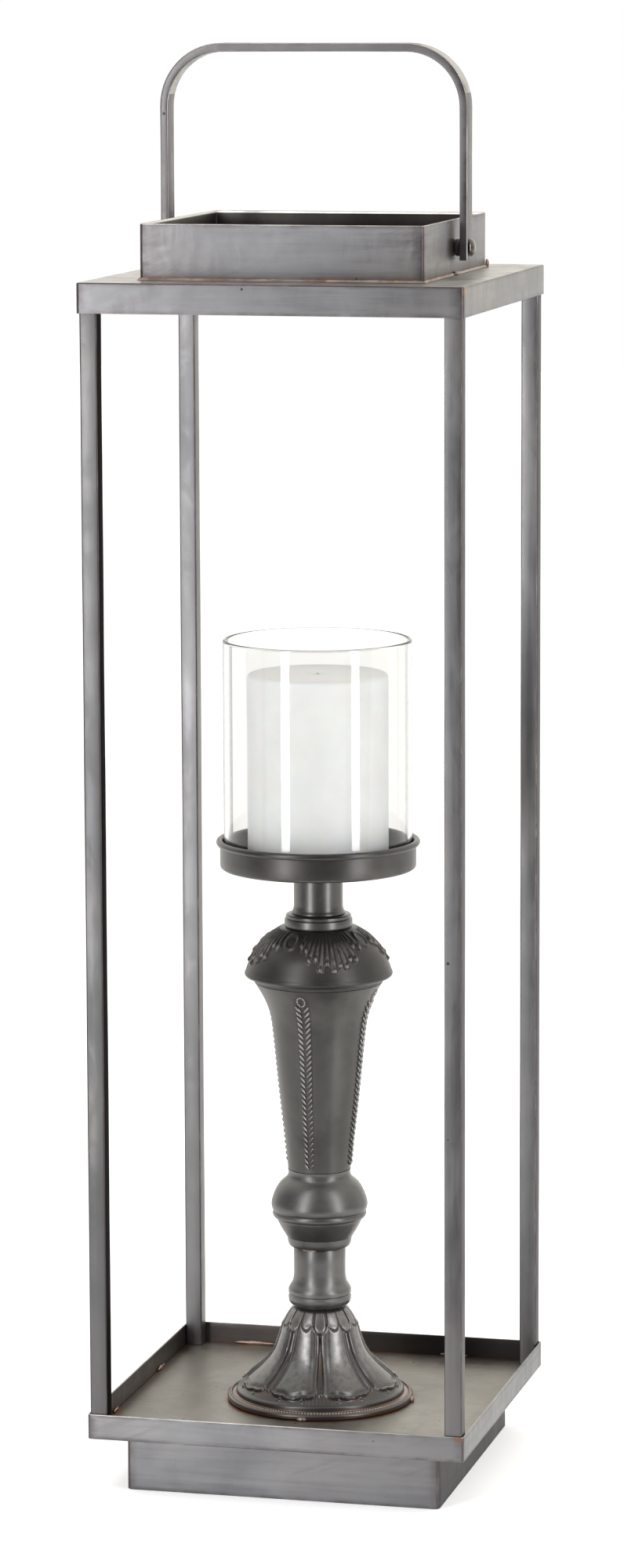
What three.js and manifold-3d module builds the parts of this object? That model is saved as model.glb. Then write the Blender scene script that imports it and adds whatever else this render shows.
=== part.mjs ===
// Square open-frame candle lantern, in millimetres, +Z up.
// Origin: centre of the plinth's bottom edge, which is where the lantern stands.
// A sheet-steel tray and lid are joined by four square tubes. A turned stand on a tie rod holds a pan with a
// glass sleeve and a pillar candle, and a flat-bar handle turns on two rivets through the collar.
import * as THREE from "three";
import { mergeVertices } from "three/addons/utils/BufferGeometryUtils.js";
import Module from "manifold-3d";

// ---------- driving dimensions ----------
const SIDE = 203.2; // outside of the lid and the tray
const GAP = 0.3; // between neighbouring pieces
const SHEET = 1.0; // thickness of every folded sheet
const SHEET_CORNER = 1.2; // outside radius of the folded corners of lid, tray and collar

const PLINTH_SIDE = 170;
const PLINTH_HEIGHT = 30.6;
const PLINTH_CORNER = 3;
const PLINTH_FLANGE = 12; // inward flange at the top, which the tray is welded to

const LIP_HEIGHT = 13.5; // tray rim, an angle section
const RIM_FLANGE = 24;

const POST = 9.5; // square tube
const POST_WALL = 1.0;
const POST_CORNER = 0.9;

const LID_TOP = 639.7;
const LID_SKIRT = 15.8;
const COLLAR_SIDE = 150;
const COLLAR_HEIGHT = 28.6;

const BAR_THICK = 4.7; // handle bar, 3/16 x 1/2 in
const BAR_WIDTH = 12.7;
const HANDLE_INNER = 78; // from the centre plane to the inner face of a leg
const HANDLE_TOP = 759.4;
const HANDLE_CORNER = 33; // outside bend radius
const PIVOT_HEIGHT = 653.8;
const LEG_END = 6.6; // bar left below the pivot
const RIVET_RADIUS = 2.5;
const HINGE_CLEARANCE = 0.1; // radial, shank to handle hole
const RIVET_HEAD = { radius: 4.8, height: 2.6 };
const RIVET_TAIL = { radius: 4.2, height: 1.8 };
const SPACER_RADIUS = 4.6;

const STAND_WALL = 2.4; // cast wall of the turned pieces
const FOOT_WALL = 3;
const ROD_RADIUS = 3; // M6 tie rod
const ROD_BORE = 3.5;
const END_PLATE = 2.5; // seat at the end of each turned piece
const NUT_FLATS = 10;
const NUT_HEIGHT = 5;
const WASHER = { radius: 9, thick: 1.5 };
const ROD_TAIL = 3; // rod that sticks out below the base nut

const FOOT_HEIGHT = 51.8;
const SPOOL_HEIGHT = 31.7;
const KNOP_HEIGHT = 42.5;
const VASE_HEIGHT = 101.9;
const DOME_HEIGHT = 29.2;
const RING_HEIGHT = 7.3;
const NECK_HEIGHT = 23.9;

const CUP_RADIUS = 52.3; // outside of the pan's wall
const CUP_FLOOR = 1.2;
const CUP_BEND = 1.6; // radius between the pan's floor and wall
const BEAD = { ring: 52.6, radius: 1.8, height: 14 }; // rolled rim
const GLASS_RADIUS = 50.2;
const GLASS_WALL = 2.2;
const GLASS_HEIGHT = 121.2;
const CANDLE_RADIUS = 37.7;
const CANDLE_HEIGHT = 103.4;
const CANDLE_EDGE = 1.5;
const WICK_WELL = { radius: 3, depth: 2.2 };
const WICK_RADIUS = 0.9;

// Facets of round pieces.
const TURNED_SIDES = 28;
const PAN_SIDES = 40;
const SMALL_SIDES = 16;

// ---------- levels worked out from the dimensions ----------
const TRAY_BOTTOM = PLINTH_HEIGHT + GAP;
const FLOOR_BOTTOM = TRAY_BOTTOM + SHEET + GAP;
const FLOOR_TOP = FLOOR_BOTTOM + SHEET;
const LID_UNDERSIDE = LID_TOP - SHEET;
const FOOT_BASE = FLOOR_TOP + GAP;
const SPOOL_BASE = FOOT_BASE + FOOT_HEIGHT + GAP;
const KNOP_BASE = SPOOL_BASE + SPOOL_HEIGHT + GAP;
const VASE_BASE = KNOP_BASE + KNOP_HEIGHT + GAP;
const DOME_BASE = VASE_BASE + VASE_HEIGHT + GAP;
const RING_BASE = DOME_BASE + DOME_HEIGHT + GAP;
const NECK_BASE = RING_BASE + RING_HEIGHT + GAP;
const CUP_BASE = NECK_BASE + NECK_HEIGHT + GAP;
const PAN_FLOOR = CUP_BASE + CUP_FLOOR + GAP; // where glass and candle stand

// ---------- materials ----------
const steel = () => new THREE.MeshStandardMaterial({ color: 0x8f8f92, roughness: 0.5, metalness: 0.8 });
const castIron = () => new THREE.MeshStandardMaterial({ color: 0x55534f, roughness: 0.42, metalness: 0.85 });
const zinc = () => new THREE.MeshStandardMaterial({ color: 0xa3a3a0, roughness: 0.4, metalness: 0.9 });
const clearGlass = () => new THREE.MeshStandardMaterial({ color: 0xf2f6f6, roughness: 0.03, metalness: 0 });
const wax = () => new THREE.MeshStandardMaterial({ color: 0xf1efe8, roughness: 0.55, metalness: 0 });
const cotton = () => new THREE.MeshStandardMaterial({ color: 0xdcd6c8, roughness: 0.95, metalness: 0 });

// ---------- joining and cutting ----------
const wasm = await Module();
wasm.setup();

function solid(geometry) {
  const plain = geometry.clone();
  plain.deleteAttribute("normal");
  plain.deleteAttribute("uv");
  const merged = mergeVertices(plain, 1e-4);
  return new wasm.Manifold(
    new wasm.Mesh({
      numProp: 3,
      vertProperties: merged.attributes.position.array,
      triVerts: new Uint32Array(merged.index.array),
    }),
  );
}

function geometryOf(manifold) {
  const mesh = manifold.getMesh();
  const geometry = new THREE.BufferGeometry();
  geometry.setAttribute("position", new THREE.BufferAttribute(new Float32Array(mesh.vertProperties), 3));
  geometry.setIndex(new THREE.BufferAttribute(new Uint32Array(mesh.triVerts), 1));
  geometry.computeVertexNormals();
  return geometry;
}

const join = (a, b) => geometryOf(solid(a).add(solid(b)));
const cut = (a, ...tools) => geometryOf(tools.reduce((body, tool) => body.subtract(solid(tool)), solid(a)));

// ---------- shape helpers ----------
function squareOutline(path, side, radius, corner = 3) {
  const flat = side / 2 - radius;
  const centres = [[flat, -flat], [flat, flat], [-flat, flat], [-flat, -flat]];
  const points = [];
  centres.forEach(([x, y], index) => {
    for (let step = 0; step <= corner; step++) {
      const angle = (index - 1 + step / corner) * (Math.PI / 2);
      points.push(new THREE.Vector2(x + radius * Math.cos(angle), y + radius * Math.sin(angle)));
    }
  });
  return path.setFromPoints(points);
}

function squareTube(side, wall, radius, height) {
  const shape = squareOutline(new THREE.Shape(), side, radius);
  shape.holes.push(squareOutline(new THREE.Path(), side - 2 * wall, Math.max(radius - wall, 0.3)));
  return new THREE.ExtrudeGeometry(shape, { depth: height, bevelEnabled: false });
}

function squarePlate(side, radius, height, hole = 0) {
  const shape = squareOutline(new THREE.Shape(), side, radius);
  if (hole) {
    const bore = new THREE.Path();
    bore.absarc(0, 0, hole, 0, 2 * Math.PI, true);
    shape.holes.push(bore);
  }
  return new THREE.ExtrudeGeometry(shape, { depth: height, bevelEnabled: false, curveSegments: SMALL_SIDES });
}

// A list of [radius, height] pairs as points. A stretch wrapped in { curve: [...] } runs smoothly through its points.
function profile(stretches, divisions = 2) {
  const points = [];
  for (const stretch of stretches) {
    if (!stretch.curve) {
      points.push(new THREE.Vector2(...stretch));
      continue;
    }
    const knots = stretch.curve.map((pair) => new THREE.Vector2(...pair));
    points.push(...new THREE.SplineCurve(knots).getPoints((knots.length - 1) * divisions));
  }
  return points;
}

// Turns a closed profile about the vertical axis.
function turned(points, sides = TURNED_SIDES) {
  return new THREE.LatheGeometry([...points, points[0].clone()], sides);
}

// A cast hollow: the outer profile, a wall inside it, and a seat with the rod's bore at each closed end.
function hollow(outer, { wall = STAND_WALL, bottomSeat = true, topSeat = true } = {}) {
  const top = outer[outer.length - 1];
  const bottom = outer[0];
  const low = bottomSeat ? bottom.y + END_PLATE : bottom.y;
  const high = topSeat ? top.y - END_PLATE : top.y;
  const between = outer.filter((p, i) => i % 3 === 1 && p.y > low + 0.4 && p.y < high - 0.4);
  const radiusAt = (height) => {
    const after = outer.findIndex((p) => p.y >= height - 1e-6);
    if (after < 1) return outer[Math.max(after, 0)].x;
    const a = outer[after - 1];
    const b = outer[after];
    return a.x + ((b.x - a.x) * (height - a.y)) / Math.max(b.y - a.y, 1e-6);
  };
  const inner = [
    new THREE.Vector2(radiusAt(high) - wall, high),
    ...between.reverse().map((p) => new THREE.Vector2(p.x - wall, p.y)),
    new THREE.Vector2(radiusAt(low) - wall, low),
  ];
  const seatAt = (edge, inside) => [new THREE.Vector2(ROD_BORE, edge), new THREE.Vector2(ROD_BORE, inside)];
  return turned([
    ...outer,
    ...(topSeat ? seatAt(top.y, high) : []),
    ...inner,
    ...(bottomSeat ? seatAt(low, bottom.y) : []),
  ]);
}

const lantern = new THREE.Group();

function place(name, geometry, material, { z = 0, x = 0, y = 0, rotation = [0, 0, 0] } = {}) {
  const mesh = new THREE.Mesh(geometry, material);
  mesh.name = name;
  mesh.position.set(x, y, z);
  mesh.rotation.set(...rotation);
  lantern.add(mesh);
  return mesh;
}

// LatheGeometry turns about Y, so a turned piece is stood up by a quarter turn about X.
const UPRIGHT = [Math.PI / 2, 0, 0];

// ---------- frame: plinth, tray, posts, lid and collar ----------
function plinth() {
  const wall = squareTube(PLINTH_SIDE, SHEET, PLINTH_CORNER, PLINTH_HEIGHT);
  const flange = squareTube(PLINTH_SIDE, PLINTH_FLANGE, PLINTH_CORNER, SHEET);
  return join(wall, flange.translate(0, 0, PLINTH_HEIGHT - SHEET));
}

function trayRim() {
  const lip = squareTube(SIDE, SHEET, SHEET_CORNER, LIP_HEIGHT);
  return join(lip, squareTube(SIDE, RIM_FLANGE, SHEET_CORNER, SHEET));
}

function lid() {
  const skirt = squareTube(SIDE, SHEET, SHEET_CORNER, LID_SKIRT);
  const top = squarePlate(SIDE, SHEET_CORNER, SHEET);
  return join(skirt, top.translate(0, 0, LID_SKIRT - SHEET));
}

function collar() {
  const wall = squareTube(COLLAR_SIDE, SHEET, SHEET_CORNER, COLLAR_HEIGHT);
  const bore = new THREE.CylinderGeometry(RIVET_RADIUS + GAP / 2, RIVET_RADIUS + GAP / 2, COLLAR_SIDE * 2, SMALL_SIDES);
  bore.rotateZ(Math.PI / 2);
  bore.translate(0, 0, PIVOT_HEIGHT - LID_TOP - GAP);
  return cut(wall, bore);
}

place("plinth", plinth(), steel());
place("tray_rim", trayRim(), steel(), { z: TRAY_BOTTOM });
place("tray_floor", squarePlate(SIDE - 2 * (SHEET + GAP), 0.5, SHEET, ROD_BORE), steel(), { z: FLOOR_BOTTOM });
place("lid", lid(), steel(), { z: LID_TOP - LID_SKIRT });
place("collar", collar(), steel(), { z: LID_TOP + GAP });

const postAt = SIDE / 2 - SHEET - GAP - POST / 2;
const postHeight = LID_UNDERSIDE - FLOOR_TOP - 2 * GAP;
for (const [end, y] of [["front", -postAt], ["back", postAt]]) {
  for (const [hand, x] of [["left", -postAt], ["right", postAt]]) {
    const tube = squareTube(POST, POST_WALL, POST_CORNER, postHeight);
    place(`post_${end}_${hand}`, tube, steel(), { x, y, z: FLOOR_TOP + GAP });
  }
}

// ---------- handle, its rivets and spacers ----------
function handle() {
  const outer = HANDLE_INNER + BAR_THICK;
  const rise = HANDLE_TOP - PIVOT_HEIGHT;
  const inside = HANDLE_CORNER - BAR_THICK;
  const shape = new THREE.Shape();
  shape.moveTo(-outer, -LEG_END);
  shape.lineTo(-HANDLE_INNER, -LEG_END);
  shape.lineTo(-HANDLE_INNER, rise - HANDLE_CORNER);
  shape.absarc(-HANDLE_INNER + inside, rise - HANDLE_CORNER, inside, Math.PI, Math.PI / 2, true);
  shape.absarc(HANDLE_INNER - inside, rise - HANDLE_CORNER, inside, Math.PI / 2, 0, true);
  shape.lineTo(HANDLE_INNER, -LEG_END);
  shape.lineTo(outer, -LEG_END);
  shape.absarc(outer - HANDLE_CORNER, rise - HANDLE_CORNER, HANDLE_CORNER, 0, Math.PI / 2, false);
  shape.absarc(HANDLE_CORNER - outer, rise - HANDLE_CORNER, HANDLE_CORNER, Math.PI / 2, Math.PI, false);
  const bar = new THREE.ExtrudeGeometry(shape, { depth: BAR_WIDTH, bevelEnabled: false, curveSegments: 10 });
  bar.translate(0, 0, -BAR_WIDTH / 2);
  bar.rotateX(Math.PI / 2);
  const holeRadius = RIVET_RADIUS + HINGE_CLEARANCE;
  const hole = new THREE.CylinderGeometry(holeRadius, holeRadius, 2 * SIDE, SMALL_SIDES);
  hole.rotateZ(Math.PI / 2);
  return cut(bar, hole);
}

// A rivet with a domed head outside and a flatter one inside the collar. Its axis is the lathe's own.
function rivet() {
  const tailFace = COLLAR_SIDE / 2 - SHEET - GAP;
  const headFace = HANDLE_INNER + BAR_THICK + GAP;
  const dome = (radius, height, from, sign) => {
    const points = [];
    for (let step = 0; step <= 4; step++) {
      const angle = (step * Math.PI) / 8;
      points.push([radius * Math.cos(angle), from + sign * height * Math.sin(angle)]);
    }
    points[points.length - 1][0] = 0;
    return points;
  };
  const tail = dome(RIVET_TAIL.radius, RIVET_TAIL.height, tailFace, -1).reverse();
  const head = dome(RIVET_HEAD.radius, RIVET_HEAD.height, headFace, 1);
  const points = profile([...tail, [RIVET_RADIUS, tailFace], [RIVET_RADIUS, headFace], ...head]);
  return new THREE.LatheGeometry(points, SMALL_SIDES);
}

function spacer() {
  const from = COLLAR_SIDE / 2 + GAP;
  const to = HANDLE_INNER - GAP;
  const bore = RIVET_RADIUS + GAP / 2;
  return turned(profile([[bore, from], [SPACER_RADIUS, from], [SPACER_RADIUS, to], [bore, to]]), SMALL_SIDES);
}

place("handle", handle(), steel(), { z: PIVOT_HEIGHT });
for (const [hand, turn] of [["left", Math.PI / 2], ["right", -Math.PI / 2]]) {
  place(`rivet_${hand}`, rivet(), castIron(), { z: PIVOT_HEIGHT, rotation: [0, 0, turn] });
  place(`spacer_${hand}`, spacer(), steel(), { z: PIVOT_HEIGHT, rotation: [0, 0, turn] });
}

// ---------- turned stand ----------
const footOutline = profile([
  [50.1, 0],
  [50.1, 2.4],
  [48.8, 3.6],
  [45.2, 3.7],
  [45.2, 5.4],
  { curve: [[43.8, 7], [38.2, 12.4], [29.8, 19.6], [24.2, 26.7], [20.4, 37]] },
  { curve: [[19.4, 41], [16.4, 46.6], [12.6, FOOT_HEIGHT]] },
]);
const spoolOutline = profile([
  [13.6, 0],
  [16.1, 1.1],
  [16.9, 2.8],
  [16.9, 8],
  { curve: [[16.4, 9.5], [14.6, 12.6], [13.9, 17]] },
  [13.9, SPOOL_HEIGHT],
]);
const knopOutline = profile([
  [15, 0],
  [16.7, 2],
  [17.6, 6.4],
  { curve: [[18.5, 7.2], [21.3, 11.4], [23.3, 16.2]] },
  { curve: [[24.4, 17.2], [25.8, 22.8], [23.2, 31.6], [18, 39.8]] },
  [16.9, KNOP_HEIGHT],
]);
const vaseOutline = profile([
  { curve: [[16.8, 0], [18.4, 18], [21.4, 44], [24, 70], [27.2, 88], [34.4, VASE_HEIGHT]] },
]);
const domeOutline = profile([
  [35, 0],
  { curve: [[37.7, 1.4], [39.7, 4.8], [38, 9.2], [34.4, 16.4], [27.4, 24.4], [20.4, DOME_HEIGHT]] },
]);
const ringOutline = profile([
  [17.6, 0],
  [18.2, 0.8],
  [18.2, 4.2],
  [17.1, 5],
  [17.5, 5.8],
  [16.8, 6.8],
  [15.4, RING_HEIGHT],
]);
const neckOutline = profile([[14.4, 0], [13.5, 1.6], [13.1, 4], [13.1, NECK_HEIGHT]]);

const stand = [
  ["foot", footOutline, FOOT_BASE, { wall: FOOT_WALL, bottomSeat: false }],
  ["lower_spool", spoolOutline, SPOOL_BASE, {}],
  ["ball_knop", knopOutline, KNOP_BASE, {}],
  ["vase_stem", vaseOutline, VASE_BASE, {}],
  ["dome_cap", domeOutline, DOME_BASE, {}],
  ["upper_neck", neckOutline, NECK_BASE, { topSeat: false }],
];
for (const [name, outline, base, ends] of stand) {
  place(name, hollow(outline, ends), castIron(), { z: base, rotation: UPRIGHT });
}
const ringBore = [[ROD_BORE, RING_HEIGHT], [ROD_BORE, 0]].map((pair) => new THREE.Vector2(...pair));
place("neck_ring", turned([...ringOutline, ...ringBore]), castIron(), { z: RING_BASE, rotation: UPRIGHT });

// ---------- tie rod and its nuts ----------
function hexNut(height) {
  const shape = new THREE.Shape();
  const corner = NUT_FLATS / Math.sqrt(3);
  for (let side = 0; side < 6; side++) {
    const angle = (side * Math.PI) / 3;
    const point = [corner * Math.cos(angle), corner * Math.sin(angle)];
    if (side) shape.lineTo(...point);
    else shape.moveTo(...point);
  }
  const bore = new THREE.Path();
  bore.absarc(0, 0, ROD_RADIUS + GAP, 0, 2 * Math.PI, true);
  shape.holes.push(bore);
  return new THREE.ExtrudeGeometry(shape, { depth: height, bevelEnabled: false, curveSegments: 8 });
}

const cupNutBase = CUP_BASE - GAP - NUT_HEIGHT;
const washerBase = FLOOR_BOTTOM - GAP - WASHER.thick;
const baseNutBase = washerBase - GAP - NUT_HEIGHT;
const rodBottom = baseNutBase - ROD_TAIL;
const rodLength = CUP_BASE - 2 * GAP - rodBottom;
place("cup_nut", hexNut(NUT_HEIGHT), zinc(), { z: cupNutBase });
place("base_nut", hexNut(NUT_HEIGHT), zinc(), { z: baseNutBase });
const washerRing = [
  [ROD_BORE, 0],
  [WASHER.radius, 0],
  [WASHER.radius, WASHER.thick],
  [ROD_BORE, WASHER.thick],
];
place("base_washer", turned(profile(washerRing), SMALL_SIDES), zinc(), { z: washerBase, rotation: UPRIGHT });
const rod = new THREE.CylinderGeometry(ROD_RADIUS, ROD_RADIUS, rodLength, SMALL_SIDES);
place("tie_rod", rod, zinc(), { z: rodBottom + rodLength / 2, rotation: UPRIGHT });

// ---------- pan, glass and candle ----------
function candleCup() {
  const wallInside = CUP_RADIUS - SHEET;
  const beadStart = -Math.PI / 2 - 0.15;
  const points = [[0, 0], [CUP_RADIUS - CUP_BEND, 0], [CUP_RADIUS, CUP_BEND]];
  for (let step = 0; step <= 8; step++) {
    const angle = beadStart + (step * (2 * Math.PI - 1.1)) / 8;
    points.push([BEAD.ring + BEAD.radius * Math.cos(angle), BEAD.height + BEAD.radius * Math.sin(angle)]);
  }
  points.push([wallInside, BEAD.height - BEAD.radius - 0.4], [wallInside, CUP_FLOOR], [0, CUP_FLOOR]);
  return new THREE.LatheGeometry(profile(points), PAN_SIDES);
}

function glassSleeve() {
  const inside = GLASS_RADIUS - GLASS_WALL;
  const soft = 0.6;
  const ring = [
    [inside, soft],
    [inside + soft, 0],
    [GLASS_RADIUS - soft, 0],
    [GLASS_RADIUS, soft],
    [GLASS_RADIUS, GLASS_HEIGHT - soft],
    [GLASS_RADIUS - soft, GLASS_HEIGHT],
    [inside + soft, GLASS_HEIGHT],
    [inside, GLASS_HEIGHT - soft],
  ];
  return turned(profile(ring), PAN_SIDES);
}

function candle() {
  const side = [
    [0, 0],
    [CANDLE_RADIUS - CANDLE_EDGE, 0],
    [CANDLE_RADIUS, CANDLE_EDGE],
    [CANDLE_RADIUS, CANDLE_HEIGHT - CANDLE_EDGE],
    [CANDLE_RADIUS - CANDLE_EDGE, CANDLE_HEIGHT],
    [WICK_WELL.radius, CANDLE_HEIGHT],
    [WICK_RADIUS + GAP, CANDLE_HEIGHT - WICK_WELL.depth],
    [WICK_RADIUS + GAP, END_PLATE],
    [0, END_PLATE],
  ];
  return new THREE.LatheGeometry(profile(side), TURNED_SIDES);
}

place("candle_cup", candleCup(), castIron(), { z: CUP_BASE, rotation: UPRIGHT });
place("glass_sleeve", glassSleeve(), clearGlass(), { z: PAN_FLOOR, rotation: UPRIGHT });
place("candle", candle(), wax(), { z: PAN_FLOOR, rotation: UPRIGHT });
const wickLength = CANDLE_HEIGHT - END_PLATE - 2 * GAP;
const wick = new THREE.CylinderGeometry(WICK_RADIUS, WICK_RADIUS, wickLength, 8);
place("wick", wick, cotton(), { z: PAN_FLOOR + END_PLATE + GAP + wickLength / 2, rotation: UPRIGHT });

export default lantern;
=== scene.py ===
"""Looks of the candle lantern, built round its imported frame: folded steel sheet, square tube and flat bar,
a turned and embossed candle stand, the pan with its glass sleeve, and the pillar candle."""
import math

import bmesh
import bpy
from mathutils import Matrix, Vector


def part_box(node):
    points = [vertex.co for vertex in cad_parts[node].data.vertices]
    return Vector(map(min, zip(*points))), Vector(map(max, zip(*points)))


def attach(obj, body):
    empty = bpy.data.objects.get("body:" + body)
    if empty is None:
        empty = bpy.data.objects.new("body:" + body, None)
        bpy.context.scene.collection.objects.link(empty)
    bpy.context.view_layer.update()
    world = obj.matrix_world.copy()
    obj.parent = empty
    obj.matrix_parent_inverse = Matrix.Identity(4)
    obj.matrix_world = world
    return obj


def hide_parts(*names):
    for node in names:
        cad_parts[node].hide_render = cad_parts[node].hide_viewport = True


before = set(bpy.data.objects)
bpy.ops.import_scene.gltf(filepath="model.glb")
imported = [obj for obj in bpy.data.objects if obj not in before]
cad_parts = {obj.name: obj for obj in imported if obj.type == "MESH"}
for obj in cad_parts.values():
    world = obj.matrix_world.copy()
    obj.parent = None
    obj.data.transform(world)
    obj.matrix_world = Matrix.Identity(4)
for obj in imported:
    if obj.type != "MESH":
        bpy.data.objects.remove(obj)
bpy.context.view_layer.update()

MM = 0.001

# -------- camera and lamps
EYE = (0.6804, -2.7496, 0.8047)
EYE_YAW, EYE_DOWN, EYE_ROLL = math.radians(13.963), math.radians(8.749), math.radians(-0.226)
EYE_LENS = 123.73

scene = bpy.context.scene
camera = bpy.data.objects.new("camera", bpy.data.cameras.new("camera"))
scene.collection.objects.link(camera)
camera.data.lens = EYE_LENS
camera.location = EYE
turn_in = Matrix.Rotation(EYE_YAW, 4, "Z") @ Matrix.Rotation(math.pi / 2 - EYE_DOWN, 4, "X")
camera.rotation_euler = (turn_in @ Matrix.Rotation(EYE_ROLL, 4, "Z")).to_euler()
scene.camera = camera
scene.view_settings.view_transform = "Standard"

PANEL_TOP = 1.35
PANEL_POWER = 6.3


def softbox(name, bearing, distance, width):
    """A tall lit panel facing the lantern. Bearing 0 is in front and 90 to the right, in degrees."""
    light = bpy.data.lights.new(name, "AREA")
    light.shape = "RECTANGLE"
    light.size, light.size_y = width, PANEL_TOP
    light.energy = PANEL_POWER
    lamp = bpy.data.objects.new(name, light)
    scene.collection.objects.link(lamp)
    turn = math.radians(bearing)
    lamp.location = (distance * math.sin(turn), -distance * math.cos(turn), PANEL_TOP / 2)
    inwards = Vector((-lamp.location.x, -lamp.location.y, 0))
    lamp.rotation_euler = inwards.to_track_quat("-Z", "Y").to_euler()
    lamp.visible_camera = False


softbox("left_panel", -25.5, 0.8, 0.14)
softbox("right_panel", 60, 0.9, 0.15)


# -------- node helpers
class Nodes:
    """A node tree, with short calls that add nodes to it. An input given as a socket is linked."""

    def __init__(self, tree):
        self.tree = tree

    def put(self, node, inputs):
        for key, value in inputs.items():
            socket = node.inputs[key.replace("_", " ") if isinstance(key, str) else key]
            if isinstance(value, bpy.types.NodeSocket):
                self.tree.links.new(value, socket)
            else:
                socket.default_value = (*value, 1) if socket.type == "RGBA" else value

    def node(self, kind, inputs=None, **settings):
        node = self.tree.nodes.new("ShaderNode" + kind)
        for key, value in settings.items():
            setattr(node, key, value)
        self.put(node, inputs or {})
        return node

    def span(self, value, low, high, to_low=0.0, to_high=1.0):
        """Eases from one level to another as the value goes from low to high."""
        inputs = {"Value": value, "From Min": low, "From Max": high, "To Min": to_low, "To Max": to_high}
        return self.node("MapRange", inputs, interpolation_type="SMOOTHSTEP").outputs[0]

    def reckon(self, operation, a, b=0.0):
        return self.node("Math", {0: a, 1: b}, operation=operation).outputs[0]

    def times(self, a, b):
        return self.reckon("MULTIPLY", a, b)

    def plus(self, a, b):
        return self.reckon("ADD", a, b)

    def larger(self, a, b):
        return self.reckon("MAXIMUM", a, b)

    def blend(self, amount, a, b):
        """From colour a to colour b."""
        node = self.node("Mix", {"Factor": amount}, data_type="RGBA")
        self.put(node, {6: a, 7: b})
        return node.outputs[2]


class Finish(Nodes):
    """A material on a piece's own coordinates, whose colour is laid on in coats."""

    def __init__(self, name, **constants):
        self.material = bpy.data.materials.new(name)
        self.material.use_nodes = True
        super().__init__(self.material.node_tree)
        self.shader = self.tree.nodes["Principled BSDF"]
        self.put(self.shader, constants)
        self.place = self.node("TexCoord").outputs["Object"]

    def noise(self, scale, detail=3.0, rough=0.5, stretch=None, warp=0.0):
        place = self.place
        if stretch:
            place = self.node("Mapping", {"Vector": place, "Scale": stretch}).outputs[0]
        inputs = {"Vector": place, "Scale": scale, "Detail": detail, "Roughness": rough, "Distortion": warp}
        return self.node("TexNoise", inputs).outputs[0]

    def patches(self, scale, low, high, to_low=0.0, to_high=1.0, detail=3.0, rough=0.6):
        return self.span(self.noise(scale, detail, rough), low, high, to_low, to_high)

    def painted(self, attribute):
        return self.node("Attribute", attribute_name=attribute).outputs["Fac"]

    def parts(self):
        return self.node("SeparateXYZ", {0: self.place}).outputs

    def square_distance(self, half):
        """Distance outwards from a square of that half side about the upright axis."""
        x, y, _ = self.parts()
        outer = self.larger(self.reckon("ABSOLUTE", x), self.reckon("ABSOLUTE", y))
        return self.reckon("SUBTRACT", outer, half)

    def round_distance(self, radius):
        """Distance outwards from a cylinder about the upright axis."""
        x, y, _ = self.parts()
        square = self.plus(self.times(x, x), self.times(y, y))
        return self.reckon("SUBTRACT", self.reckon("SQRT", square), radius)

    def mottle(self, value, low, high, dark, light):
        """The first coat: from dark to light as the value goes from low to high."""
        self.coat = self.blend(self.span(value, low, high), dark, light)

    def lay(self, tone, mask, *masks):
        """Lays a tone over the coats so far, where every mask is 1."""
        for other in masks:
            mask = self.times(mask, other)
        self.coat = self.blend(mask, self.coat, tone)

    def rough(self, value, low, high, smooth, coarse):
        self.put(self.shader, {"Roughness": self.span(value, low, high, smooth, coarse)})

    def relief(self, height, depth, strength):
        bump = self.node("Bump", {"Height": height, "Distance": depth, "Strength": strength})
        self.put(self.shader, {"Normal": bump.outputs[0]})

    def close(self):
        self.put(self.shader, {"Base Color": self.coat})
        return self.material


def studio_light():
    """White behind and above the lantern, dimmer in front of it, and plain white where it is looked at."""
    world = bpy.data.worlds.new("studio")
    scene.world = world
    world.use_nodes = True
    world.node_tree.nodes.clear()
    sky = Nodes(world.node_tree)
    direction = sky.node("TexCoord").outputs["Generated"]
    back_and_up = (0.0, 1.0, 0.75)
    towards = sky.node("VectorMath", {0: direction, 1: back_and_up}, operation="DOT_PRODUCT")
    depth = sky.span(towards.outputs["Value"], -0.2, 0.95)
    tones = sky.blend(depth, (0.15, 0.153, 0.165), (1.31, 1.275, 1.19))
    rays = sky.node("LightPath").outputs
    seen = sky.larger(rays["Is Camera Ray"], rays["Is Transmission Ray"])
    background = sky.node("Background", {"Color": sky.blend(seen, tones, (1.0, 1.0, 1.0)), "Strength": 1.0})
    sky.node("OutputWorld", {"Surface": background.outputs[0]})


studio_light()

# -------- raw steel
PLUM_EDGE = (0.085, 0.062, 0.066)
RUST = (0.30, 0.14, 0.075)
DARK_RUST = (0.16, 0.075, 0.04)
SMOKE = (0.25, 0.215, 0.19)
WIPED = (0.13, 0.117, 0.118)
SOIL = (0.085, 0.072, 0.075)
PIT = (0.045, 0.038, 0.038)
FLANK_SHADE = (0.025, 0.022, 0.022)
BARE_STEEL_AND_SHEEN = (0.50, 0.48, 0.45)
RIM_HIGHLIGHT = (0.92, 0.90, 0.82)
BURN_AND_SHADOW = (0.06, 0.042, 0.03)
RIGHT_SHADE = (0.07, 0.068, 0.07)
LOW_SHADE = (0.05, 0.048, 0.048)


def soiled_edges(look, node):
    """1 along the edges and upright corners of a square band, fading within a few millimetres."""
    low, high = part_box(node)
    x, y, z = look.parts()
    fade, corner, fold = 2.8 * MM, 7 * MM, 0.5 * MM
    ends = look.larger(look.span(z, low.z, low.z + fade, 1.0, 0.0), look.span(z, high.z - fade, high.z))
    nearer = look.reckon("MINIMUM", look.reckon("ABSOLUTE", x), look.reckon("ABSOLUTE", y))
    return look.larger(ends, look.span(nearer, high.x - corner, high.x - fold))


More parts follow.
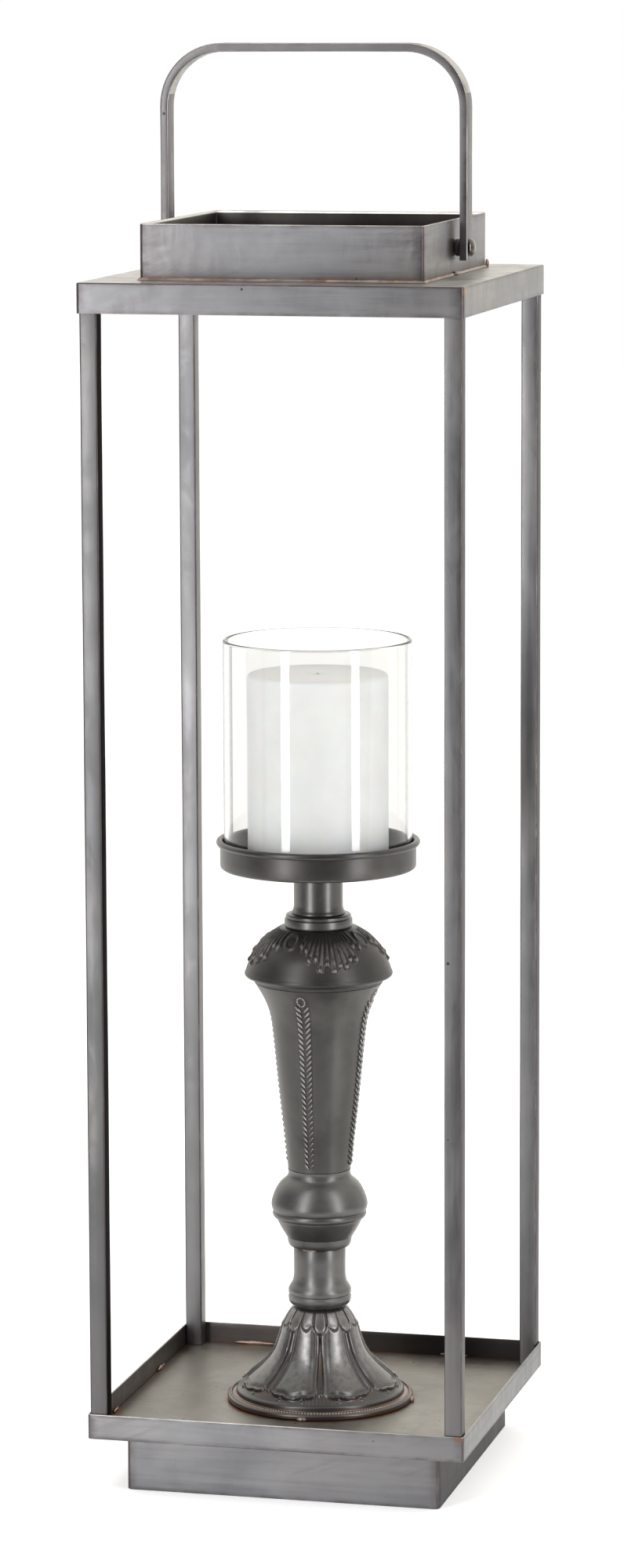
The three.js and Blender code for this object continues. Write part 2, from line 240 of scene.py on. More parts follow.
def spots(look, places):
    """1 at each place, fading out at its radius. A place is x, y, z and radius, in metres."""
    total = 0.0
    for *centre, radius in places:
        away = look.node("VectorMath", {0: look.place, 1: centre}, operation="DISTANCE").outputs["Value"]
        total = look.larger(look.span(away, radius * 0.25, radius, 1.0, 0.0), total)
    return total


def scale_and_light_inside(look, cloud, bright, rim):
    """The dark scale and painted shade inside a band, with painted light towards the left and a painted
    highlight along the top edge where rim gives its height.
    """
    dark, light, lit_left = ([bright * part for part in tone]
                          for tone in ((0.6, 0.48, 0.45), (1.3, 1.12, 1.03), (3.5, 3.1, 2.9)))
    tone = look.blend(look.span(cloud, 0.35, 0.65), dark, light)
    # painted light: the inside turns paler towards the left
    tone = look.blend(look.span(look.parts()[0], -0.08, 0.02, 0.55, 0.0), tone, lit_left)
    # painted highlight along the top edge inside, just below the height given
    if rim:
        lit = look.span(look.parts()[2], rim - 1.4 * MM, rim - 1.0 * MM)
        tone = look.blend(lit, tone, RIM_HIGHLIGHT)
    look.lay(tone, look.painted("inside"))


def steel(name, grain, dark, light, seam=None, coat=0.12, band=None, smoky=0.25, wiping=0.22, side=0.5,
          glance=1.0, inner=0.0, rim=0.0, rusty=(), burn_and_shadow=(), shade_right=0.0, shade_low=0.0):
    """Raw steel under a thin lacquer, from dark to light in streaks stretched by the grain.

    seam gives how far a weld tints it, and band is the node whose edges are soiled. smoky and wiping
    are the strengths of brown smoke and of the marks of a rag. side is how dark the painted shade is on
    the flanks marked as scale, and glance tints reflections at a low angle. inner is how bright the dark
    scale and painted shade inside are, with their painted light to the left, and rim the height of a
    painted highlight along the top edge inside. rusty are places of rust, and burnt places of heat marks
    and of the painted shadow of the handle's strap. dusky lays painted shade towards the right, and sunk
    painted shade downwards.
    """
    look = Finish(name, Metallic=0.9, Coat_Weight=coat, Coat_Roughness=0.3, Specular_Tint=(glance,) * 3)
    cloud = look.noise(13.0, 4, 0.55, warp=0.4)
    streak = look.noise(1.0, 5, 0.6, stretch=grain)
    smear = look.noise(70.0, 5, 0.65, stretch=(1.0, 1.0, 0.45), warp=1.2)
    tone = look.plus(look.times(cloud, 0.5), look.times(streak, 0.35))
    look.mottle(look.plus(tone, look.times(smear, 0.15)), 0.36, 0.64, dark, light)
    look.lay(SMOKE, look.patches(9.0, 0.5, 0.75, 0.0, smoky, rough=0.5))
    tilted = look.node("Mapping", {"Vector": look.place, "Rotation": (0.0, 0.4, 0.0)}).outputs[0]
    wiped = look.node("Mapping", {"Vector": tilted, "Scale": (14.0, 14.0, 240.0)}).outputs[0]
    marks = look.node("TexNoise", {"Vector": wiped, "Scale": 1.0, "Detail": 5.0}).outputs[0]
    where = look.patches(17.0, 0.5, 0.62, 0.0, wiping, 2, 0.5)
    look.lay(light, look.span(marks, 0.5, 0.62), where)
    look.lay(WIPED, look.span(marks, 0.5, 0.36), where)
    if band:
        look.lay(SOIL, soiled_edges(look, band), look.patches(34.0, 0.36, 0.62, 0.0, 0.8, 4, 0.65))
    cells = look.node("TexVoronoi", {"Vector": look.place, "Scale": 150.0})
    rare = look.span(look.node("SeparateColor", {0: cells.outputs["Color"]}).outputs[0], 0.955, 0.96)
    pit = look.times(look.span(cells.outputs["Distance"], 0.09, 0.15, 1.0, 0.0), rare)
    look.lay(PIT, pit)
    # painted shade on the flanks marked as scale, as dark as side gives
    look.lay(FLANK_SHADE, look.painted("scale"), side)
    look.lay(PLUM_EDGE, look.painted("edge"), look.patches(60.0, 0.3, 0.52, 0.25, 0.9))
    # bare rubbed steel, and painted light on the upward faces and rims marked with it
    look.lay(BARE_STEEL_AND_SHEEN, look.painted("wear_and_sheen"), look.patches(45.0, 0.3, 0.6, 0.3, 0.9))
    # dark scale and painted shade inside, with painted light to the left and a painted highlight at the rim
    if inner:
        scale_and_light_inside(look, cloud, inner, rim)
    if seam:
        near = seam(look)
        look.lay(RUST, near, look.patches(42.0, 0.42, 0.62, detail=4))
        look.lay(DARK_RUST, near, 0.35)
    # heat marks, and the painted shadow of the handle's strap on the collar
    if burn_and_shadow:
        look.lay(BURN_AND_SHADOW, spots(look, burn_and_shadow), 0.75)
    if rusty:
        look.lay(RUST, spots(look, rusty), look.patches(220.0, 0.35, 0.55))
    # painted shade, deepening towards the right
    if shade_right:
        look.lay(RIGHT_SHADE, look.span(look.parts()[0], -0.03, 0.1, 0.0, shade_right))
    # painted shade, deepening towards the bottom
    if shade_low:
        look.lay(LOW_SHADE, look.span(look.parts()[2], 0.05, 0.36, shade_low, 0.0))
    rough = look.plus(look.span(streak, 0.3, 0.7, 0.0, 0.1), look.span(smear, 0.35, 0.65, 0.34, 0.44))
    look.put(look.shader, {"Roughness": rough})
    height = look.plus(look.times(streak, 0.5), look.times(smear, 0.5))
    look.relief(look.reckon("SUBTRACT", height, pit), 0.25 * MM, 0.35)
    return look.close()


LEVEL = (14.0, 14.0, 260.0)  # streaks that run round a band
UPRIGHT = (230.0, 230.0, 9.0)  # streaks that run up a tube
ALONG = (16.0, 190.0, 190.0)  # streaks that run along the handle
ROLLED = (20.0, 7.0, 20.0)  # broad streaks of the tray floor
BASE_TONES = (0.160, 0.158, 0.166), (0.262, 0.259, 0.266)
TUBE_TONES = (0.120, 0.118, 0.121), (0.185, 0.182, 0.184)

lid_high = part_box("lid")[1]
collar_low, collar_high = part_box("collar")
floor_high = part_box("tray_floor")[1]
foot_low, foot_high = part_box("foot")


def collar_seam(look):
    return look.times(look.span(look.parts()[2], collar_low.z, collar_low.z + 3.5 * MM, 1.0, 0.0), 0.45)


def lid_seam(look):
    return look.span(look.square_distance(collar_high.x), 0.0, 4 * MM, 0.5, 0.0)


def floor_seam(look):
    border = look.span(look.square_distance(floor_high.x), -6.5 * MM, -0.5 * MM)
    ring = look.span(look.reckon("ABSOLUTE", look.round_distance(foot_high.x)), 0.0, 3.6 * MM, 1.0, 0.0)
    return look.larger(border, ring)


plinth_steel = steel("plinth_steel", LEVEL, *BASE_TONES, band="plinth", side=0.6, glance=0.5, shade_right=0.22)
rim_steel = steel("rim_steel", LEVEL, *BASE_TONES, inner=0.042, band="tray_rim", shade_right=0.32,
                  rusty=[(0.0985, -0.1016, 0.0440, 0.0035)])
# the burnt places beside the handle's straps are heat marks and painted shadow
collar_steel = steel("collar_steel", LEVEL, (0.143, 0.141, 0.147), (0.238, 0.235, 0.239), collar_seam,
                     inner=0.026, rim=collar_high.z, band="collar", wiping=0.5,
                     burn_and_shadow=[(0.075, -0.009, 0.656, 0.013), (-0.075, 0.009, 0.656, 0.013)])
lid_steel = steel("lid_steel", LEVEL, (0.120, 0.118, 0.123), (0.200, 0.198, 0.202), lid_seam, coat=0.4,
                  band="lid", rusty=[(0.1016, -0.098, 0.637, 0.004)])
floor_steel = steel("floor_steel", ROLLED, (0.180, 0.168, 0.147), (0.280, 0.263, 0.233), floor_seam,
                    smoky=0.4)
bar_steel = steel("bar_steel", ALONG, (0.098, 0.091, 0.095), (0.170, 0.162, 0.166), wiping=0.1)

# tone, darkness of the flanks, their glancing reflection, and coat of each post. The tones and the darkness
# of the flanks are painted light and shade: all four posts are the same tube steel
POSTS = {"post_front_left": (0.85, 0.97, 0.1, 0.0), "post_front_right": (1.12, 0.6, 0.75, 0.12),
         "post_back_left": (1.45, 0.22, 1.0, 0.12), "post_back_right": (1.45, 0.65, 0.65, 0.12)}
post_steel = {}
for node, (tone, side, glance, coat) in POSTS.items():
    dark, light = ([tone * part for part in colour] for colour in TUBE_TONES)
    post_steel[node] = steel(f"{node}_steel", UPRIGHT, dark, light, coat=coat, wiping=0.0, side=side,
                             glance=glance, shade_low=0.32)

# -------- lacquered castings
BRIGHT_IRON = (0.33, 0.32, 0.31)
LOWER_SHADE_IRON = (0.02, 0.019, 0.018)
HOLLOW = (0.02, 0.017, 0.02)
HOLLOW_RUST = (0.15, 0.07, 0.042)
ORANGE_RUST = (0.20, 0.082, 0.04)


def iron(name, dark, light, satin, rust=0.0, seam=None, shade_below=None):
    """Gunmetal lacquer on a casting, rubbed bright on what stands proud and rusty in its hollows.

    seam gives where it rusts besides, and below the two heights of dull it is darkened by painted shade.
    """
    look = Finish(name, Metallic=0.82, Coat_Weight=0.5, Coat_Roughness=0.16 + satin)
    cloud = look.noise(24.0, 4, 0.6, warp=0.3)
    fine = look.noise(420.0, 3, 0.6)
    look.mottle(cloud, 0.32, 0.68, dark, light)
    proud = look.times(look.painted("relief"), look.patches(330.0, 0.3, 0.6, 0.7, 1.0, rough=0.5))
    look.lay(BRIGHT_IRON, look.span(proud, 0.35, 1.0, 0.0, 0.55))
    # painted shade, darker towards the bottom
    if shade_below:
        look.lay(LOWER_SHADE_IRON, look.span(look.parts()[2], *shade_below, 0.55, 0.0))
    deep = look.span(look.painted("hollow"), 0.15, 0.6)
    look.lay(HOLLOW, deep, 0.6)
    look.lay(HOLLOW_RUST, deep, look.patches(55.0, 0.4, 0.62, 0.15 * rust, 0.9 * rust, 4))
    if seam:
        look.lay(ORANGE_RUST, seam(look), look.span(fine, 0.3, 0.6, 0.6, 1.0))
    look.rough(cloud, 0.3, 0.7, 0.22 + satin, 0.31 + satin)
    look.relief(look.plus(look.times(fine, 0.35), cloud), 0.2 * MM, 0.3)
    return look.close()


def foot_seam(look):
    """Rust in the step under the beads and along the bottom edge."""
    z = look.parts()[2]
    outside = look.span(look.round_distance(45.2 * MM), 0.0, 0.5 * MM)
    low, high = foot_low.z + 2.7 * MM, foot_low.z + 4.6 * MM
    step = look.times(look.span(z, low, low + 0.4 * MM), look.span(z, high, high + 0.8 * MM, 1.0, 0.0))
    bottom = look.span(z, foot_low.z + 0.4 * MM, foot_low.z + 1.2 * MM, 1.0, 0.0)
    return look.times(outside, look.larger(step, bottom))


stand_iron = iron("stand_iron", (0.082, 0.080, 0.076), (0.148, 0.145, 0.139), 0.12)
vase_iron = iron("vase_iron", (0.040, 0.038, 0.035), (0.076, 0.073, 0.068), 0.16, 0.12)
knop_iron = iron("knop_iron", (0.066, 0.064, 0.061), (0.120, 0.117, 0.112), 0.14)
dome_iron = iron("dome_iron", (0.027, 0.025, 0.023), (0.051, 0.048, 0.045), 0.22, 0.5)
ear_iron = iron("ear_iron", (0.15, 0.145, 0.139), (0.27, 0.262, 0.252), 0.1)
foot_iron = iron("foot_iron", (0.098, 0.096, 0.093), (0.132, 0.129, 0.124), 0.10, 0.4, foot_seam,
                 (foot_low.z + 10 * MM, foot_low.z + 34 * MM))
pan_iron = iron("pan_iron", (0.034, 0.032, 0.030), (0.076, 0.071, 0.067), 0.16)
rivet_iron = iron("rivet_iron", (0.07, 0.06, 0.055), (0.14, 0.125, 0.115), 0.0)


# -------- weld, zinc, glass, wax, cotton and paper
def weld():
    """The coppery, oxide-tinted bead left by brazing."""
    look = Finish("weld_bead", Metallic=0.75)
    tone = look.noise(150.0, 3, 0.6)
    look.mottle(tone, 0.35, 0.65, (0.24, 0.15, 0.105), (0.46, 0.35, 0.28))
    look.lay((0.30, 0.28, 0.27), look.patches(35.0, 0.45, 0.6, detail=2, rough=0.5))
    look.rough(tone, 0.3, 0.7, 0.35, 0.55)
    look.relief(tone, 0.2 * MM, 0.5)
    return look.close()


def zinc():
    look = Finish("zinc_plate", Metallic=0.95)
    flake = look.noise(260.0, 4, 0.6)
    look.mottle(flake, 0.3, 0.7, (0.42, 0.42, 0.40), (0.62, 0.62, 0.60))
    look.rough(flake, 0.3, 0.7, 0.28, 0.48)
    look.relief(flake, 0.15 * MM, 0.3)
    return look.close()


def glass():
    """Clear soda glass, with the faint waves of a drawn tube."""
    look = Finish("sleeve_glass", Transmission_Weight=1.0, IOR=1.4, Roughness=0.0)
    wave = look.noise(1.0, 2, 0.4, stretch=(22.0, 22.0, 3.0))
    look.mottle(wave, 0.3, 0.7, (0.918, 0.921, 0.920), (0.940, 0.943, 0.942))
    look.relief(wave, 0.2 * MM, 0.12)
    return look.close()


def wax():
    """Ivory paraffin, with slight mottling and handling dents."""
    look = Finish("candle_wax", Subsurface_Weight=0.5, Subsurface_Scale=0.02, Coat_Weight=0.3,
                    Coat_Roughness=0.35, Subsurface_Radius=(1.0, 0.75, 0.5))
    mottle = look.noise(60.0, 4, 0.6)
    soft = look.noise(14.0, 2, 0.5)
    look.mottle(mottle, 0.3, 0.7, (0.825, 0.83, 0.815), (0.87, 0.875, 0.86))
    look.rough(mottle, 0.3, 0.7, 0.42, 0.58)
    look.relief(look.plus(mottle, look.times(soft, 2.0)), 0.3 * MM, 0.25)
    return look.close()


def cotton():
    look = Finish("wick_cotton", Roughness=0.95)
    twist = look.noise(900.0, 2)
    look.coat = look.blend(twist, (0.50, 0.46, 0.38), (0.78, 0.74, 0.66))
    look.relief(twist, 0.2 * MM, 0.6)
    return look.close()


def paper():
    look = Finish("floor_paper", Roughness=0.9, Emission_Strength=0.35, Emission_Color=(1, 1, 1))
    look.coat = look.blend(look.noise(3.0, 3), (0.93, 0.93, 0.93), (0.95, 0.95, 0.95))
    return look.close()


weld_bead, zinc_plate, sleeve_glass = weld(), zinc(), glass()
candle_wax, wick_cotton, floor_paper = wax(), cotton(), paper()


# -------- modelling helpers
def deselect():
    bpy.ops.object.select_all(action="DESELECT")


def everything():
    bpy.ops.mesh.select_all(action="SELECT")


def leave_edit():
    bpy.ops.object.mode_set(mode="OBJECT")


def settle():
    """Puts the active piece's place, turn and size into its mesh."""
    bpy.ops.object.transform_apply(location=True, rotation=True, scale=True)


def select_only(obj):
    deselect()
    obj.select_set(True)
    bpy.context.view_layer.objects.active = obj


def begin(name):
    """Names the primitive just added, settles its place in its mesh, and opens it with nothing selected."""
    obj = bpy.context.object
    obj.name = obj.data.name = name
    settle()
    bpy.ops.object.mode_set(mode="EDIT")
    bpy.ops.mesh.select_all(action="DESELECT")
    return obj


def pick(kind, test):
    """Selects the faces, edges or verts of the open mesh that pass the test, and nothing else."""
    bpy.ops.mesh.select_mode(type={"faces": "FACE", "edges": "EDGE", "verts": "VERT"}[kind])
    bpy.ops.mesh.select_all(action="DESELECT")
    mesh = bmesh.from_edit_mesh(bpy.context.edit_object.data)
    for part in getattr(mesh, kind):
        if test(part):
            part.select_set(True)
    mesh.select_flush_mode()
    bmesh.update_edit_mesh(bpy.context.edit_object.data)


def climb(edge):
    """Height between the ends of an edge."""
    return abs(edge.verts[0].co.z - edge.verts[1].co.z)


def box_shell(name, location, size, is_open):
    """A box of that size, open where its faces pass the test, left in edit mode."""
    deselect()
    bpy.ops.mesh.primitive_cube_add(size=1, location=location, scale=size)
    obj = begin(name)
    pick("faces", is_open)
    bpy.ops.mesh.delete(type="FACE")
    return obj


def modify(obj, kind, **settings):
    bpy.context.view_layer.objects.active = obj
    modifier = obj.modifiers.new(kind.title(), kind)
    for key, value in settings.items():
        setattr(modifier, key, value)
    bpy.ops.object.modifier_apply(modifier=modifier.name)


def paint(obj, name, test, amount=1.0):
    """Marks the faces that pass the test."""
    marks = [0.0] * len(obj.data.loops)
    for face in obj.data.polygons:
        if test(face):
            for corner in face.loop_indices:
                marks[corner] = amount
    obj.data.attributes.new(name, "FLOAT", "CORNER").data.foreach_set("value", marks)


def oblique(face):
    """Whether a face lies on a fold or an eased edge."""
    return max(abs(x) for x in face.normal) < 0.97


def upright_fold(face):
    return oblique(face) and abs(face.normal.z) < 0.25


def inner_wall(face):
    towards = face.normal.x * face.center.x + face.normal.y * face.center.y
    return abs(face.normal.z) < 0.5 and towards < 0


def done(obj, material, body, replaces=(), angle=35):
    """Closes the piece: smooth shading, its material, the body it rides on and the nodes it stands for."""
    select_only(obj)
    bpy.ops.object.shade_smooth_by_angle(angle=math.radians(angle))
    obj.data.materials.clear()
    obj.data.materials.append(material)
    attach(obj, body)
    if replaces:
        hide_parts(*replaces)


def on_frame(obj, material, *nodes, angle=35):
    done(obj, material, "frame", nodes, angle)


def on_stand(obj, material, *nodes, angle=30):
    done(obj, material, "frame", nodes, angle)


def clouds(name, scale):
    texture = bpy.data.textures.new(name, "CLOUDS")
    texture.noise_scale = scale
    texture.noise_depth = 1
    return texture


hammered = clouds("hammered", 70 * MM)
beading = clouds("beading", 4 * MM)


def unevenness(obj, depth, middle=1.0):
    """The slight waves of hand-worked metal, inwards only unless a middle is given."""
    modify(obj, "DISPLACE", texture=hammered, texture_coords="LOCAL", strength=depth, mid_level=middle)


# -------- folded sheet
WALL = 1.0 * MM
HAIR = 1e-6  # places closer than this are the same
SHARP = math.radians(50)


def folded(name, node, corner, cuts, open_ends, flange=0.0, flange_end=1):
    """A square of folded sheet: a box with ends cut away, corners rounded and walls given thickness."""
    low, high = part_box(node)

    def is_open(face):
        return any(face.normal.z * end > 0.9 for end in open_ends)

    obj = box_shell(name, (high + low) / 2, high - low, is_open)
    pick("edges", lambda e: climb(e) < HAIR)
    bpy.ops.mesh.subdivide(number_cuts=cuts)

    def on_corner(edge):
        return all(abs(abs(v.co.x) - high.x) < HAIR and abs(abs(v.co.y) - high.y) < HAIR for v in edge.verts)

    pick("edges", on_corner)
    bpy.ops.mesh.bevel(offset=corner, segments=4, affect="EDGES")
    if 1 not in open_ends:
        pick("edges", lambda e: all(abs(v.co.z - high.z) < HAIR for v in e.verts)
             and len(e.link_faces) == 2 and e.calc_face_angle(0) > 1)
        bpy.ops.mesh.bevel(offset=0.9 * MM, segments=3, affect="EDGES")
    pick("edges", lambda e: climb(e) > 6 * MM)
    bpy.ops.mesh.subdivide(number_cuts=3)
    if flange:
        level = high.z if flange_end > 0 else low.z
        pick("edges", lambda e: e.is_boundary and all(abs(v.co.z - level) < HAIR for v in e.verts))
        bpy.ops.mesh.extrude_region_move(TRANSFORM_OT_translate={"value": (0, 0, 0)})
        inwards = 1 - flange / high.x
        bpy.ops.transform.resize(value=(inwards, inwards, 1), center_override=(0, 0, level))
    leave_edit()
    unevenness(obj, 0.25 * MM)
    modify(obj, "SOLIDIFY", thickness=WALL, offset=-1, use_even_offset=True)
    modify(obj, "BEVEL", width=0.4 * MM, segments=3, limit_method="ANGLE", angle_limit=SHARP)
    if 1 in open_ends:
        paint(obj, "edge", upright_fold)
        # upward faces and rims: bare where rubbed, and a painted highlight
        paint(obj, "wear_and_sheen", lambda f: f.normal.z > 0.25)
    else:
        paint(obj, "edge", oblique)
        # the flat top: painted light, lighter because it faces up
        paint(obj, "wear_and_sheen", lambda f: f.normal.z > 0.97, 0.75)
    paint(obj, "inside", inner_wall)
    return obj


plinth = folded("plinth_sheet", "plinth", 3 * MM, 20, (1, -1), flange=12 * MM)
# painted shade: the plinth's right flank is marked to be darkened
paint(plinth, "scale", lambda f: f.normal.x > 0.9)
on_frame(plinth, plinth_steel, "plinth")
on_frame(folded("tray_angle", "tray_rim", 2 * MM, 22, (1, -1), 24 * MM, flange_end=-1), rim_steel, "tray_rim")
on_frame(folded("lid_sheet", "lid", 2 * MM, 23, (-1,)), lid_steel, "lid")
on_frame(folded("collar_band", "collar", 2 * MM, 20, (1, -1)), collar_steel, "collar")


def floor_sheet():
    low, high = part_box("tray_floor")
    deselect()
    bpy.ops.mesh.primitive_plane_add(size=1, location=(0, 0, high.z))
    obj = bpy.context.object
    obj.scale = (high.x - low.x, high.y - low.y, 1)
    begin("tray_floor_sheet")
    everything()
    bpy.ops.mesh.subdivide(number_cuts=30)
    leave_edit()
    unevenness(obj, 0.3 * MM, 0.5)
    modify(obj, "SOLIDIFY", thickness=WALL, offset=-1)
    modify(obj, "BEVEL", width=0.25 * MM, segments=2, limit_method="ANGLE", angle_limit=SHARP)
    on_frame(obj, floor_steel, "tray_floor")


floor_sheet()


def post(node):
    """Square tube: a stretched box, open at both ends, with rolled corners."""
    low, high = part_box(node)
    obj = box_shell(node + "_tube", (high + low) / 2, high - low, lambda f: abs(f.normal.z) > 0.9)
    pick("edges", lambda e: climb(e) > 0.1)
    bpy.ops.mesh.bevel(offset=1.0 * MM, segments=4, affect="EDGES")
    pick("edges", lambda e: climb(e) > 0.1)
    bpy.ops.mesh.subdivide(number_cuts=40)
    leave_edit()
    unevenness(obj, 0.3 * MM)
    modify(obj, "SOLIDIFY", thickness=WALL, offset=-1)
    paint(obj, "edge", upright_fold)
    # painted shade: both flanks of the tube are marked to be darkened
    paint(obj, "scale", lambda f: abs(f.normal.x) > 0.9)
    on_frame(obj, post_steel[node], node)


for end in ("front", "back"):
    for hand in ("left", "right"):
        post(f"post_{end}_{hand}")


# -------- handle
PIVOT = 653.8 * MM
PIN_HOLE = 2.9 * MM
BAR_THICKNESS = 4.7 * MM
BEND = 33 * MM
LEG_STEPS, BEND_STEPS, SPAN_STEPS = 6, 14, 8


def handle_bar():
    """Flat bar with eased edges, extruded up one leg, spun round the bends and down the other leg."""
    low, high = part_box("handle")
    deselect()
    bpy.ops.mesh.primitive_plane_add(size=1, location=(low.x + BAR_THICKNESS / 2, 0, low.z))
    obj = bpy.context.object
    obj.scale = (BAR_THICKNESS, high.y - low.y, 1)
    begin("handle_bar")
    bpy.ops.mesh.select_mode(type="VERT")
    everything()
    bpy.ops.mesh.bevel(offset=0.9 * MM, segments=4, affect="VERTICES")
    everything()

    def forward(step, times):
        for _ in range(times):
            bpy.ops.mesh.extrude_region_move(TRANSFORM_OT_translate={"value": step})

    def round_bend(x):
        bpy.ops.mesh.spin(steps=BEND_STEPS, angle=-math.pi / 2, center=(x, 0, high.z - BEND), axis=(0, 1, 0))

    leg = high.z - BEND - low.z
    span = high.x - low.x - 2 * BEND
    forward((0, 0, leg / LEG_STEPS), LEG_STEPS)
    round_bend(low.x + BEND)
    forward((span / SPAN_STEPS, 0, 0), SPAN_STEPS)
    round_bend(high.x - BEND)
    forward((0, 0, -leg / LEG_STEPS), LEG_STEPS)
    mesh = bmesh.from_edit_mesh(obj.data)
    walls_within = [f for f in mesh.faces if len(f.verts) > 4 and low.z + 0.1 * MM < f.calc_center_median().z]
    bmesh.ops.delete(mesh, geom=walls_within, context="FACES_ONLY")
    bmesh.update_edit_mesh(obj.data)
    everything()
    bpy.ops.mesh.normals_make_consistent(inside=False)
    leave_edit()
    unevenness(obj, 0.35 * MM)
    deselect()
    bpy.ops.mesh.primitive_cylinder_add(vertices=32, radius=PIN_HOLE, depth=0.2, location=(0, 0, PIVOT),
                                        rotation=(0, math.pi / 2, 0))
    drill = bpy.context.object
    modify(obj, "BOOLEAN", object=drill, operation="DIFFERENCE", solver="EXACT")
    bpy.data.objects.remove(drill)
    paint(obj, "wear_and_sheen", oblique)
    done(obj, bar_steel, "handle", ["handle"])


handle_bar()


# -------- turning
def smooth(knots, spacing):
    """Points along a smooth line through the knots, about that far apart."""
    points = []
    for i in range(len(knots) - 1):
        a, b = Vector(knots[max(i - 1, 0)]), Vector(knots[i])
        c, d = Vector(knots[i + 1]), Vector(knots[min(i + 2, len(knots) - 1)])
        steps = max(2, round((c - b).length / spacing))
        for step in range(steps):
            t = step / steps
            points.append(0.5 * ((2 * b) + (c - a) * t + (2 * a - 5 * b + 4 * c - d) * t * t
                                 + (3 * b - a - 3 * c + d) * t ** 3))
    points.append(Vector(knots[-1]))
    return [tuple(p) for p in points]


def outline(stretches, spacing=1.2):
    """A profile in (radius, height). A list inside it is a smooth stretch, and a pair is a corner."""
    points = []
    for stretch in stretches:
        points += smooth(stretch, spacing) if isinstance(stretch, list) else [stretch]
    return points


def arc(centre, sizes, start, step, count):
    """Points of a profile round part of an ellipse, by angles in degrees."""
    angles = [math.radians(start + step * index) for index in range(count)]
    return [(centre[0] + sizes[0] * math.cos(a), centre[1] + sizes[1] * math.sin(a)) for a in angles]


WELD = 0.01 * MM  # points of a turning closer than this are merged


def turn(name, points, base, steps=96):
    """Draws the closed profile as a chain of edges beside the axis and spins it all the way round."""
    deselect()
    bpy.ops.mesh.primitive_plane_add(size=MM)
    obj = begin(name)
    bpy.ops.mesh.select_mode(type="VERT")
    everything()
    bpy.ops.mesh.merge(type="CENTER")
    at = Vector((0, 0, 0))
    for index, (radius, height) in enumerate(points):
        step = Vector((radius * MM, 0, base + height * MM)) - at
        if index:
            bpy.ops.mesh.extrude_vertices_move(TRANSFORM_OT_translate={"value": step})
        else:
            bpy.ops.transform.translate(value=step)
        at += step
    everything()
    bpy.ops.mesh.remove_doubles(threshold=WELD)
    bpy.ops.mesh.spin(steps=steps, angle=2 * math.pi, center=(0, 0, 0), axis=(0, 0, 1))
    everything()
    bpy.ops.mesh.remove_doubles(threshold=WELD)
    bpy.ops.mesh.normals_make_consistent(inside=False)
    leave_edit()
    return obj


BORE = 3.5  # clearance for the tie rod
SEAT = 2.5  # thickness of a closed end


def cast(name, skin, base, wall=2.4, seats=(True, True), steps=96):
    """A hollow turned casting: the skin, a seat round the rod at each closed end, and the wall inside."""
    low, high = skin[0][1], skin[-1][1]
    floor = low + (SEAT if seats[0] else 0)
    roof = high - (SEAT if seats[1] else 0)
    inner = [(r - wall, h) for r, h in skin if floor < h < roof][::-6]
    top = [(BORE, high), (BORE, roof)] if seats[1] else []
    bottom = [(BORE, floor), (BORE, low)] if seats[0] else []
    top_in = [(max(inner[0][0], BORE + 1), roof)]
    bottom_in = [(max(inner[-1][0], BORE + 1), floor)]
    return turn(name, [*skin, *top, *top_in, *inner, *bottom_in, *bottom, skin[0]], base, steps)


def base_of(node):
    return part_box(node)[0].z


spool_skin = outline([
    (13.6, 0), (15.9, 0.6), (16.6, 1.6), (16.9, 3), (16.9, 4.6), (16.45, 5.2), (16.45, 5.7), (16.9, 6.3),
    (16.9, 8), [(16.9, 8.2), (16.4, 9.5), (14.6, 12.6), (13.9, 17)], (13.9, 24), (14.0, 30.6), (13.7, 31.5)])
on_stand(cast("lower_spool_turned", spool_skin, base_of("lower_spool")), stand_iron, "lower_spool")

knop_skin = outline([
    (14.8, 0), (16.1, 0.5), (16.8, 1.6), (17.1, 3), (17.5, 5.4), (18.1, 6.0),
    [(18.6, 7.0), (20.4, 9.9), (22.2, 13.4), (23.1, 15.4)], (23.2, 15.9), (24.0, 16.1),
    [(24.6, 16.5), (25.1, 17.4), (25.2, 18.4), (25.0, 19.2)], (24.7, 19.7), (25.0, 20.1),
    [(25.4, 20.7), (25.9, 23.2), (25.3, 26.4), (23.6, 30.8), (21.7, 33.9), (20.0, 35.8), (18.4, 37.1),
     (17.2, 38.4), (16.7, 40.0), (16.7, 41.6)], (16.9, 42.5)], 0.9)
on_stand(cast("ball_knop_turned", knop_skin, base_of("ball_knop")), knop_iron, "ball_knop")

vase_skin = outline([[(16.8, 0), (17.2, 5), (18.4, 18), (19.8, 30), (21.2, 43), (22.5, 56), (23.9, 70),
                      (25.3, 81), (27.2, 88.2), (30.3, 95.1), (34.4, 101.9)]], 1.6)
vase_base = base_of("vase_stem")
vase = cast("vase_turned", vase_skin, vase_base, steps=256)

neck_skin = outline([(14.4, 0), (14.3, 0.6), [(13.7, 1.4), (13.2, 3), (13.1, 5)], (13.1, 23.6)])
neck = cast("upper_neck_turned", neck_skin, base_of("upper_neck"), seats=(True, False))
on_stand(neck, stand_iron, "upper_neck")

ring_skin = [(17.2, 0), (17.9, 0.15), (18.15, 0.6), (18.2, 1.2), (18.2, 4.0), (18.05, 4.5), (17.6, 4.8),
             (17.1, 5.0), (17.1, 5.2), (17.4, 5.4), (17.5, 5.8), (17.4, 6.5), (16.8, 6.9), (15.6, 7.1),
             (14.8, 7.3)]
ring = turn("neck_ring_turned", [*ring_skin, (BORE, 7.3), (BORE, 0), ring_skin[0]], base_of("neck_ring"))
on_stand(ring, stand_iron, "neck_ring")

# -------- embossed castings
VALLEY = 14.0  # bearing of the first valley between the foot's petals, in degrees
SCROLL = 27.0  # bearing of the dome's first scroll; the leaves lie between the scrolls
EAR = -4.0  # bearing of the vase's first ear


